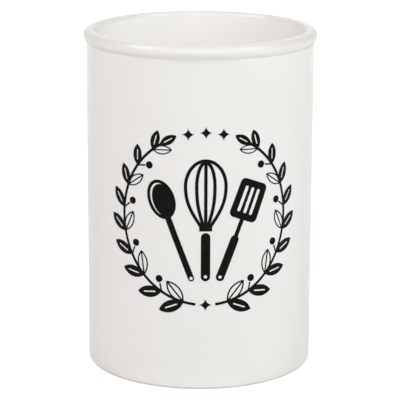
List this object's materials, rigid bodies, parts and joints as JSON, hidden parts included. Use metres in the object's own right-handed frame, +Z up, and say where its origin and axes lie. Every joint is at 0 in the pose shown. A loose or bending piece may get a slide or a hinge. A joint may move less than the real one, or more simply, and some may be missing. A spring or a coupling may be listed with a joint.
{
  "type": "utensil crock",
  "caption": "Round straight-sided stoneware crock with a rolled rim, white glaze and a black wreath print, for standing kitchen tools in.",
  "frame": {"origin": "centre of the foot, on the surface that the crock stands on", "axes": "+Z up along the pot's axis, -Y towards the printed front, +X to the print's right seen from the front"},
  "size_m": [0.1232, 0.1232, 0.18],
  "materials": {
    "fired_clay": "bare fired stoneware, fine sandy grain",
    "white_glaze": "smooth satin white glaze",
    "liner_glaze": "smooth satin white liner glaze",
    "black_ink": "fired black overglaze ink, satin"
  },
  "bodies": {
    "root": {"stoneware_body": "fired_clay", "exterior_glaze": "white_glaze", "interior_glaze": "liner_glaze", "base_glaze": "white_glaze", "print_whisk": "black_ink", "print_spoon": "black_ink", "print_turner": "black_ink", "print_left_sprig": "black_ink", "print_right_sprig": "black_ink", "print_berries": "black_ink", "print_stars": "black_ink"}
  },
  "joints": []
}
